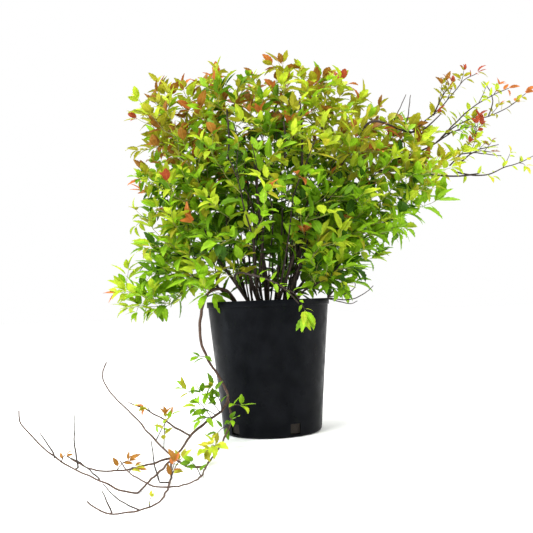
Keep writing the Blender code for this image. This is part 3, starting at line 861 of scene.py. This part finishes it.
def pot_profile():
    """Up the outside of the pot from the middle of its foot, over the rim and down its inside."""
    band, _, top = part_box("pot")[1]
    shoulder = band - RIM_BAND_STEP
    inside = shoulder - POT_WALL
    band_foot = top - RIM_BAND_HEIGHT
    lip = RIM_LIP / 2
    return [
        (0.0, 0.0),
        *arc((FOOT_RADIUS - FOOT_ROUNDING, FOOT_ROUNDING), FOOT_ROUNDING, -90, 0, steps=6),
        (shoulder - SHOULDER_EASE, band_foot - SHOULDER_EASE_HEIGHT),
        (shoulder, band_foot),
        *arc((band - BAND_ROUNDING, band_foot + BAND_ROUNDING), BAND_ROUNDING, -90, 0, steps=3),
        *arc((band - lip, top - lip), lip, 0, 90, steps=4),
        *arc((inside + lip, top - lip), lip, 90, 180, steps=4),
        (inside, band_foot),
        (FOOT_RADIUS - POT_WALL, FOOT_ROUNDING),
        (FOOT_RADIUS - FOOT_ROUNDING, POT_FLOOR),
        (0.0, POT_FLOOR),
    ]


def build_pot():
    mesh = turned_mesh("nursery_pot", pot_profile(), POT_SIDES)
    mesh.materials.append(plastic_material())
    pot = linked("nursery_pot", mesh)
    cut_drain_holes(pot)
    pot.data.shade_smooth()
    pot.data.set_sharp_from_angle(angle=POT_SHARP_ANGLE)
    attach(pot, "root")
    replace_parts(pot, "pot")


def cut_drain_holes(pot):
    """Cuts the drain holes, with plain edges, out of the foot of the pot's wall."""
    bm = bmesh.new()
    size = (DRAIN_DEPTH, DRAIN_WIDTH, DRAIN_TOP - DRAIN_BOTTOM)
    middle = Vector((FOOT_RADIUS, 0.0, (DRAIN_TOP + DRAIN_BOTTOM) / 2))
    for hole in range(DRAIN_HOLES):
        angle = DRAIN_FIRST_ANGLE + 2 * math.pi * hole / DRAIN_HOLES
        place = Matrix.Rotation(angle, 4, "Z") @ Matrix.Translation(middle) @ Matrix.Diagonal((*size, 1.0))
        bmesh.ops.create_cube(bm, size=1.0, matrix=place)
    cutter = linked("drain_cutter", mesh_from("drain_cutter", bm))
    cut = pot.modifiers.new("drain holes", "BOOLEAN")
    cut.operation = "DIFFERENCE"
    cut.object = cutter
    shown = pot.evaluated_get(bpy.context.evaluated_depsgraph_get())
    with_holes = bpy.data.meshes.new_from_object(shown)
    pot.modifiers.clear()
    pot.data = with_holes
    bpy.data.objects.remove(cutter)


def soil_circle(radius, reach, top):
    """A ring of the soil's surface, which falls towards the pot's wall and is crumbly."""
    places = circle(radius, 0.0, SOIL_SPOKES)
    fall = SOIL_FALL * max(0.0, radius - SOIL_FLAT_RADIUS) / (reach - SOIL_FLAT_RADIUS)
    for place in places:
        crumbs = sum(height * noise.noise(place * fineness) for height, fineness in SOIL_CRUMBS)
        place.z = top - SOIL_UNDER_BOX - fall + crumbs
    return places


def build_soil():
    """Crumbly mix that fills the pot, with bark chips on top."""
    low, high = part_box("soil")
    reach = high.x - SOIL_WALL_GAP
    vertices = []
    for ring in range(SOIL_RINGS + 1):
        vertices += soil_circle(reach * ring / SOIL_RINGS, reach, high.z)
    for rise, inset in SOIL_FOOT_RINGS:
        vertices += circle(FOOT_RADIUS - inset, low.z + rise, SOIL_SPOKES)
    rings = len(vertices) // SOIL_SPOKES
    faces = [(a, c, d, b) for a, b, c, d in quads(0, rings, SOIL_SPOKES)]
    last = len(vertices) - SOIL_SPOKES
    faces.append(tuple(last + spoke for spoke in reversed(range(SOIL_SPOKES))))
    soil = mesh_object("soil_surface", vertices, faces, [soil_material()], "potting_mix")
    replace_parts(soil, "soil")
    build_chips(reach, high.z)


def build_chips(reach, height):
    """Uneven boxes of bark that lie tilted on the soil."""
    vertices, faces = [], []
    for _ in range(CHIPS):
        radius = (reach - CHIP_WALL_GAP) * math.sqrt(rng.random())
        angle = rng.uniform(0, 2 * math.pi)
        lift = rng.uniform(0, CHIP_LIFT)
        place = Vector((radius * math.cos(angle), radius * math.sin(angle), height - CHIP_SINK + lift))
        turn = Matrix.Rotation(rng.uniform(0, math.pi), 3, "Z")
        turn = turn @ Matrix.Rotation(rng.uniform(-CHIP_TILT, CHIP_TILT), 3, "X")
        size = Vector([rng.uniform(*span) for span in (CHIP_LENGTH, CHIP_WIDTH, CHIP_THICKNESS)])
        start = len(vertices)
        for x, y, z in BOX_CORNERS:
            uneven = rng.uniform(*CHIP_EVENNESS)
            vertices.append(place + turn @ Vector((x * size.x * uneven, y * size.y * uneven, z * size.z)) / 2)
        faces += [tuple(start + corner for corner in corners) for corners in BOX_FACES]
    mesh_object("bark_chips", vertices, faces, [chip_material()], "potting_mix")


class Shrub:
    """The growing points of all limbs, each with its parent, heading and way back to the soil."""

    def __init__(self):
        self.places = np.zeros((GROWING_POINTS, 3))
        self.headings = np.zeros((GROWING_POINTS, 3))
        self.paths = np.zeros(GROWING_POINTS)
        self.children = np.zeros(GROWING_POINTS)
        self.open = np.zeros(GROWING_POINTS, bool)
        self.parents = []
        self.shoots = []

    def add(self, place, parent, heading):
        """A new growing point, which may branch above LOWEST_SHOOT."""
        index = len(self.parents)
        self.places[index] = place
        self.headings[index] = heading
        self.open[index] = place.z > LOWEST_SHOOT
        if parent is not None:
            self.paths[index] = self.paths[parent] + (place - Vector(self.places[parent])).length
        self.parents.append(parent)
        return index

    def add_limb(self, line):
        """The points of a stem that rises from the soil."""
        index = None
        for step, place in enumerate(line):
            index = self.add(place, index, way_at(line, step))

    def best_parent(self, tip):
        """The growing point from which the tip is cheapest to reach."""
        count = len(self.parents)
        between = np.array(tip) - self.places[:count]
        reach = np.linalg.norm(between, axis=1) + ABOVE_ZERO
        along = (between * self.headings[:count]).sum(axis=1) / reach
        cost = reach * (1.0 + TURN_COST * (1.0 - along)) + PATH_COST * self.paths[:count]
        cost += CHILD_COST * self.children[:count] + np.maximum(0.0, reach - LONGEST_REACH)
        cost[~self.open[:count]] = np.inf
        return int(np.argmin(cost))

    def nearest(self, place):
        """The growing point nearest to a place."""
        count = len(self.parents)
        distances = np.linalg.norm(self.places[:count] - np.array(place), axis=1)
        return Vector(self.places[int(np.argmin(distances))])

    def curve_to(self, tip, arrival):
        """A curve from the best growing point that reaches the tip in the given direction."""
        parent = self.best_parent(tip)
        start = Vector(self.places[parent])
        reach = (tip - start).length
        leave, arrive = Vector(self.headings[parent]) * reach, arrival * reach
        steps = max(FEEDER_LEAST_STEPS, round(reach / SHOOT_STEP))
        return [hermite(start, leave, tip, arrive, step / steps) for step in range(steps + 1)]

    def grow_to(self, tip, kinds, leaf_size, leafy=1.0):
        """A curved shoot from the best growing point to the tip, unless that is too near."""
        parent = self.best_parent(tip)
        start = Vector(self.places[parent])
        reach = (tip - start).length
        if reach < SHOOT_STEP:
            return
        way = (tip - start).normalized()
        outwards = Vector((tip.x, tip.y, 0.0)).normalized() * BENDS_OUT + Vector((0.0, 0.0, BENDS_UP))
        leave = (Vector(self.headings[parent]) * KEEPS_HEADING + way).normalized() * reach
        arrive = (way + outwards * BENDS).normalized() * reach
        steps = max(SHOOT_LEAST_STEPS, round(reach / SHOOT_STEP))
        self.children[parent] += 1
        line, index, last = [parent], parent, start
        for step in range(1, steps + 1):
            place = hermite(start, leave, tip, arrive, step / steps)
            if step < steps:
                place = wobbled(place, *SHOOT_WOBBLE)
            index = self.add(place, index, (place - last).normalized())
            last = place
            line.append(index)
        self.shoots.append((line, kinds, leaf_size, leafy))

    def radii(self):
        """Radius at each growing point, as decided by all the tips that hang on it."""
        count = len(self.parents)
        load = np.zeros(count)
        radius = np.zeros(count)
        for index in range(count - 1, -1, -1):
            load[index] = max(load[index], TIP_RADIUS ** PIPE_POWER)
            radius[index] = min(THICKEST_SHOOT, load[index] ** (1 / PIPE_POWER))
            if self.parents[index] is not None:
                load[self.parents[index]] += load[index]
        return radius


def masses():
    """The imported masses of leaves, as (name, tree for nearness, volume in litres)."""
    for name, node in sorted(frame["nodes"].items()):
        if not name.startswith("mass_"):
            continue
        bm = bmesh.new()
        bm.from_mesh(node.data)
        bmesh.ops.remove_doubles(bm, verts=bm.verts, dist=MASS_MERGE)
        bmesh.ops.recalc_face_normals(bm, faces=bm.faces)
        tree, litres = BVHTree.FromBMesh(bm), bm.calc_volume() * LITRES
        bm.free()
        yield name, tree, litres


def tips_in(name, tree, litres, trees, taken):
    """Seeded places under the skin of a mass, or in the gap to its neighbour, spaced out."""
    low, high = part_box(name)
    wanted = round(litres * SHOOTS_PER_LITRE * OPENNESS.get(name, 1.0))
    tips = []
    for _ in range(wanted * TRIES_PER_TIP):
        if len(tips) >= wanted:
            break
        place = Vector([rng.uniform(low[i] - GAP_REACH, high[i] + GAP_REACH) for i in range(3)])
        nearest, normal, _, depth = tree.find_nearest(place)
        inside = (place - nearest).dot(normal) < 0.0 and depth > SKIN_DEPTH
        beside = sum(other.find_nearest(place)[3] < GAP_REACH for other in trees)
        inside = inside or (beside > 1 and depth < GAP_REACH)
        clear = all((place - other).length > TIP_SPACING for other in taken)
        if inside and clear and rng.random() < (1.0 if depth < INNER_DEPTH else INNER_SHARE):
            tips.append(place)
            taken.append(place)
    return tips


def pick(weights):
    return rng.choices(list(weights), list(weights.values()))[0]


def core_tip():
    """A seeded place in the core of the crown, denser towards its middle."""
    way = Vector([rng.gauss(0, 1) for _ in range(3)]).normalized() * rng.random() ** CORE_CROWDING
    return Vector([middle + reach * share for middle, reach, share in zip(CORE_MIDDLE, CORE_REACH, way)])


def grow_crown(shrub):
    """Shoots to seeded tips in every mass and the core, from the soil outwards, then the outline's own."""
    tips, taken = [], []
    packed = list(masses())
    trees = [tree for _, tree, _ in packed]
    for name, tree, litres in packed:
        kinds = SPRAYS_OF.get(name, SPRAYS[SLOT_OF[name]])
        for tip in tips_in(name, tree, litres, trees, taken):
            tips.append((tip, tuple(pick(weights) for weights in kinds)))
    for _ in range(CORE_SHOOTS):
        tips.append((core_tip(), tuple(pick(weights) for weights in CORE_KINDS)))
    foot = soil_middle()
    tips.sort(key=lambda grown: (grown[0] - foot).length)
    for tip, kinds in tips:
        size = rng.uniform(*SHOOT_SIZE) * (LOW_LEAF_SIZE if tip.z < LOW_LEAVES_BELOW else 1.0)
        shrub.grow_to(tip, kinds, size)
    for tip, kind, tip_kind, size in OUTLINE.values():
        shrub.grow_to(Vector(tip), (kind, tip_kind), size, OUTLINE_LEAFINESS)


def leaf_shoot(leaves, line, kinds, size, leafy, start_share=LEAF_START):
    """Leaves in a spiral along a shoot, and a rosette of smaller ones at its tip."""
    older, younger = kinds
    length = length_of(line)
    turn = rng.uniform(0, 2 * math.pi)
    distance = length * start_share
    while distance < length:
        place, way = along_line(line, distance)
        share = distance / length
        full = LEAF_LENGTH * size * (1.0 - LEAF_SHRINKS * share) * rng.uniform(*LEAF_LENGTH_RANGE)
        young = share > YOUNG_FROM and rng.random() < YOUNG_SHARE
        leaf_at(leaves, younger if young else older, place, way, turn, full, rng.uniform(*LEAF_LEAN))
        turn += GOLDEN_TURN
        distance += LEAF_STEP / leafy * rng.uniform(*LEAF_STEP_RANGE)
    place, way = line[-1], (line[-1] - line[-2]).normalized()
    for lean in TIP_LEAF_LEANS:
        kind = younger if lean == TIP_LEAF_LEANS[0] or rng.random() < TIP_YOUNG_SHARE else older
        leaf_at(leaves, kind, place, way, turn, TIP_LEAF_LENGTH * size * rng.uniform(*TIP_LEAF_RANGE), lean)
        turn += GOLDEN_TURN


def leaf_at(leaves, kind, place, way, turn, length, lean):
    """One leaf off a shoot, turned round it and leaning out by a share, with its face to the light."""
    across = way.orthogonal().normalized()
    across.rotate(Matrix.Rotation(turn, 3, way))
    direction = (way * (1.0 - lean) + across * lean + Vector((0.0, 0.0, LEAF_LIFT))).normalized()
    light = Vector((0.0, 0.0, 1.0)) + Vector((place.x, place.y, 0.0)) * LEAF_FACES_OUT
    wobble = Vector([rng.uniform(-most, most) for most in LEAF_WOBBLE])
    leaves.add(kind, place + direction * length * STALK, direction, light + wobble, length)


def soil_middle():
    return Vector((0.0, 0.0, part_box("soil")[1].z))


def thin_stems(shrub):
    """Thin dark stems that fan out from the soil and carry the inner leaves, as (line, radii)."""
    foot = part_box("soil")[1].z - THIN_STEM_SINK
    for _ in range(THIN_STEMS):
        angle = rng.uniform(0, 2 * math.pi)
        outwards = Vector((math.cos(angle), math.sin(angle), 0.0))
        start = outwards * rng.uniform(*THIN_STEM_START) + Vector((0.0, 0.0, foot))
        tip = outwards * rng.uniform(*THIN_STEM_REACH)
        tip = tip + Vector((THIN_STEM_DRIFT, 0.0, rng.uniform(*THIN_STEM_TOP)))
        points = []
        for step in range(THIN_STEM_JOINTS + 1):
            share = step / THIN_STEM_JOINTS
            arch = THIN_STEM_ARCH * math.sin(math.pi * share)
            bent = Vector((rng.gauss(0, THIN_STEM_BEND), rng.gauss(0, THIN_STEM_BEND), arch))
            points.append(start.lerp(tip, share) + bent * min(1.0, THIN_STEM_LOOSENS * share))
        line = smooth_line(points, STEM_STEP)
        shrub.add_limb(line)
        yield line, taper(line, rng.uniform(*THIN_STEM_RADIUS), THIN_STEM_TIP)


def build_stems(shrub, twigs, bark):
    """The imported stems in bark, which the shrub then branches from, and thin stems between them."""
    tubes = Tubes(STEM_SIDES, STEM_RELIEF)
    names = sorted(name for name in frame["nodes"] if name.startswith("stem_"))
    for name in names:
        rings = limb_rings(name, [soil_middle()])
        line = smooth_line([middle for middle, _ in rings], STEM_STEP)
        shrub.add_limb(line)
        tubes.add(line, taper(line, STEM_SHARE * rings[0][1], STEM_SHARE * rings[-1][1]))
    for line, radii in thin_stems(shrub):
        twigs.add(line, radii)
    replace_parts(tubes.piece("main_stems", bark, "bark"), *names)


def build_boughs(shrub, twigs, bark):
    """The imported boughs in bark, each with a feeder that joins it to a stem."""
    tubes = Tubes(BOUGH_SIDES, BOUGH_RELIEF)
    names = sorted(name for name in frame["nodes"] if name.startswith("bough_"))
    for name in names:
        line = smooth_line([middle for middle, _ in limb_rings(name, [soil_middle()])], STEM_STEP)
        tubes.add(line, taper(line, BOUGH_RADIUS, BOUGH_END_SHARE * BOUGH_RADIUS))
        feeder = shrub.curve_to(line[0], (line[1] - line[0]).normalized())
        twigs.add(feeder, taper(feeder, FEEDER_SHARE * BOUGH_RADIUS, BOUGH_RADIUS))
    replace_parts(tubes.piece("main_boughs", bark, "bark"), *names)


def trail_line(run, carriers):
    """The middle line of packed limbs that follow each other, from the end nearest to the carriers."""
    points, near = [], carriers
    for name in run:
        rings = limb_rings(name, near)
        points += [ring for ring in rings if not points or (ring[0] - points[-1][0]).length > STEM_STEP]
        near = [points[-1][0]]
    return smooth_line([middle for middle, _ in points], STEM_STEP)


def build_trail(leaves, twigs):
    """The branch over the rim with its shoots and tufts. Returns the points that its twigs can start from."""
    wood = Tubes(BOUGH_SIDES, TRAIL_RELIEF)
    carriers = [soil_middle()]
    for run in TRAIL_RUNS:
        line = trail_line(run, carriers)
        is_branch = run is TRAIL_RUNS[0]
        if not is_branch:
            line.insert(0, nearest_of(carriers, line[0]))
        places = [wobbled(place, *TRAIL_WOBBLE) for place in line]
        radii = taper(line, *(TRAIL_RADII if is_branch else TRAIL_SHOOT_RADII))
        for place, radius in zip(places, radii):
            place.z = max(place.z, radius + TRAIL_ABOVE_FLOOR)
        wood.add(places, radii)
        carriers = carriers + line
    piece = wood.piece("trailing_branch", trail_material(), "bark")
    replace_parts(piece, *(name for run in TRAIL_RUNS for name in run))
    for start, tip, kind, tip_kind, size in TRAIL_TUFTS.values():
        root = nearest_of(carriers, Vector(start))
        middle = (root + Vector(tip)) / 2 + Vector((0.0, 0.0, TUFT_LIFT))
        line = smooth_line((root, middle, tip), TWIG_STEP)
        twigs.add(line, taper(line, *TUFT_RADII))
        leaf_shoot(leaves, line, (kind, tip_kind), size, TUFT_LEAFINESS, TUFT_LEAF_START)
    return carriers


def build_crown(shrub, leaves, twigs, young_shoots):
    """All grown shoots with their leaves. Each has a seed of its own, so they don't depend on each other."""
    radii = shrub.radii()
    for number, (indices, kinds, size, leafy) in enumerate(shrub.shoots):
        rng.seed(number)
        line = [Vector(shrub.places[i]) for i in indices]
        thickness = [max(TIP_RADIUS, radii[i]) for i in indices]
        thickness[0] = thickness[1]
        young = thickness[1] < YOUNG_WOOD_RADIUS
        (young_shoots if young else twigs).add(line, thickness)
        leaf_shoot(leaves, line, kinds, size, leafy)


def build_long_sprays(leaves, twigs):
    """The long sprays to the right, each with a few side shoots."""
    for points, leafy, kind, tip_kind in SPRAY_ROUTES.values():
        kinds = (kind, tip_kind)
        line = [wobbled(place, *SPRAY_WOBBLE) for place in smooth_line(points, TWIG_STEP)]
        twigs.add(line, taper(line, *SPRAY_RADII))
        leaf_shoot(leaves, line, kinds, SPRAY_LEAF_SIZE, leafy * SPRAY_LEAFINESS, SPRAY_LEAF_START)
        for share in SIDE_SHOOTS_AT:
            place, way = along_line(line, share * length_of(line))
            aside = Vector((0.0, rng.uniform(*SIDE_DEPTH), rng.uniform(*SIDE_RISE)))
            tip = place + way * SIDE_REACH + aside
            side = smooth_line((place, (place + tip) / 2 + Vector(SIDE_BOW), tip), TWIG_STEP)
            twigs.add(side, taper(side, *SIDE_RADII))
            leaf_shoot(leaves, side, kinds, SIDE_LEAF_SIZE, leafy * SIDE_LEAFINESS, SIDE_LEAF_START)


def build_front_spray(leaves, twigs):
    """The spray that hangs over the rim, with a cluster of leaves at its end."""
    line = smooth_line(FRONT_SPRAY, TWIG_STEP)
    twigs.add(line, taper(line, *FRONT_SPRAY_RADII))
    leaf_shoot(leaves, line, FRONT_SPRAY_KINDS, FRONT_LEAF_SIZE, FRONT_LEAFINESS, FRONT_LEAF_START)
    for number in range(CLUSTER_LEAVES):
        kind = CLUSTER_KINDS[number % len(CLUSTER_KINDS)]
        place = line[-1 - number % CLUSTER_PLACES]
        turn = number * GOLDEN_TURN
        leaf_at(leaves, kind, place, Vector(CLUSTER_WAY), turn, CLUSTER_LEAF_LENGTH, CLUSTER_LEAN)


def build_bare_twigs(shrub, twigs, carriers):
    """Bare twigs. Those on the trailing branch and those low on the right are joined to what carries them."""
    for name, points in BARE_TWIGS.items():
        line = smooth_line(points, TWIG_STEP)
        if name.startswith("trail"):
            line.insert(0, nearest_of(carriers, line[0]))
        elif name.startswith("low"):
            line.insert(0, shrub.nearest(line[0]))
        line = [wobbled(place, *BARE_TWIG_WOBBLE) for place in line]
        twigs.add(line, taper(line, *BARE_TWIG_RADII))


def build_stubs(shrub, twigs):
    for start, end, radius in STUBS.values():
        middle = (Vector(start) + Vector(end)) / 2 + Vector(STUB_BOW)
        line = smooth_line((shrub.nearest(start), start, middle, end), STEM_STEP)
        twigs.add(line, taper(line, radius, STUB_TAPER * radius))


def build_leaves(leaves):
    """A piece for each kind of leaf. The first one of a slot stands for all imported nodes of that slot."""
    stood_for = set()
    for kind, (_, _, slot) in LEAF_KINDS.items():
        made = leaves.piece(kind)
        if slot not in stood_for:
            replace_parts(made, *(name for name, of in SLOT_OF.items() if of == slot))
        stood_for.add(slot)


def build_camera():
    data = bpy.data.cameras.new("camera")
    data.lens = CAMERA_LENS
    data.sensor_width = CAMERA_SENSOR
    camera = linked("camera", data)
    turn = Matrix.Rotation(math.pi / 2 + CAMERA_PITCH, 4, "X") @ Matrix.Rotation(CAMERA_ROLL, 4, "Z")
    camera.matrix_world = Matrix.Translation((0.0, -CAMERA_DISTANCE, CAMERA_HEIGHT)) @ turn
    bpy.context.scene.camera = camera
    bpy.context.scene.view_settings.view_transform = "Standard"


def build_sky():
    """Surroundings that look white to the camera and light the shrub more from above."""
    world = bpy.data.worlds.new("studio")
    bpy.context.scene.world = world
    nodes, links = nodes_of(world)
    background = nodes.get("Background") or nodes.new("ShaderNodeBackground")
    output = nodes.get("World Output") or nodes.new("ShaderNodeOutputWorld")
    seen_white = nodes.new("ShaderNodeBackground")
    for sky in (background, seen_white):
        sky.inputs["Color"].default_value = (*WHITE, 1.0)
    path = nodes.new("ShaderNodeLightPath")
    mix = nodes.new("ShaderNodeMixShader")
    direction = nodes.new("ShaderNodeTexCoord")
    height = nodes.new("ShaderNodeSeparateXYZ")
    brighter = new_node(
        nodes, "MapRange", {"From Min": SKY_RISES_FROM, "To Min": SKY_LOW, "To Max": SKY_HIGH})
    link_nodes(
        links,
        (direction, "Generated", height, "Vector"),
        (height, "Z", brighter, "Value"),
        (brighter, "Result", background, "Strength"),
        (path, "Is Camera Ray", mix, 0),
        (background, "Background", mix, 1),
        (seen_white, "Background", mix, 2),
        (mix, "Shader", output, "Surface"))


def build_lamp(name, place, size, power, tint):
    """A softbox that faces the shrub."""
    light = bpy.data.lights.new(name, "AREA")
    light.shape = "RECTANGLE"
    light.size, light.size_y = size
    light.energy = power
    light.color = tint
    lamp = linked(name, light)
    lamp.location = place
    lamp.rotation_euler = (Vector(LAMPS_FACE) - Vector(place)).to_track_quat("-Z", "Y").to_euler()


def build_floor():
    bm = bmesh.new()
    bmesh.ops.create_grid(bm, x_segments=FLOOR_CELLS, y_segments=FLOOR_CELLS, size=FLOOR_REACH)
    mesh = mesh_from("floor", bm)
    mesh.materials.append(floor_material())
    floor = linked("floor", mesh)
    floor.location.z = -FLOOR_BELOW_POT


def build_shrub():
    shrub, leaves = Shrub(), Leaves()
    twigs, young_shoots = Tubes(TWIG_SIDES), Tubes(YOUNG_SHOOT_SIDES)
    bark = bark_material()
    build_stems(shrub, twigs, bark)
    build_boughs(shrub, twigs, bark)
    carriers = build_trail(leaves, twigs)
    grow_crown(shrub)
    build_crown(shrub, leaves, twigs, young_shoots)
    build_long_sprays(leaves, twigs)
    build_front_spray(leaves, twigs)
    build_bare_twigs(shrub, twigs, carriers)
    build_stubs(shrub, twigs)
    twigs.piece("twigs", bark, "bark")
    young_shoots.piece("young_shoots", young_bark_material(), "bark")
    build_leaves(leaves)


def main():
    build_camera()
    build_sky()
    for name, lamp in LAMPS.items():
        build_lamp(name, *lamp)
    build_floor()
    build_pot()
    build_soil()
    build_shrub()


main()
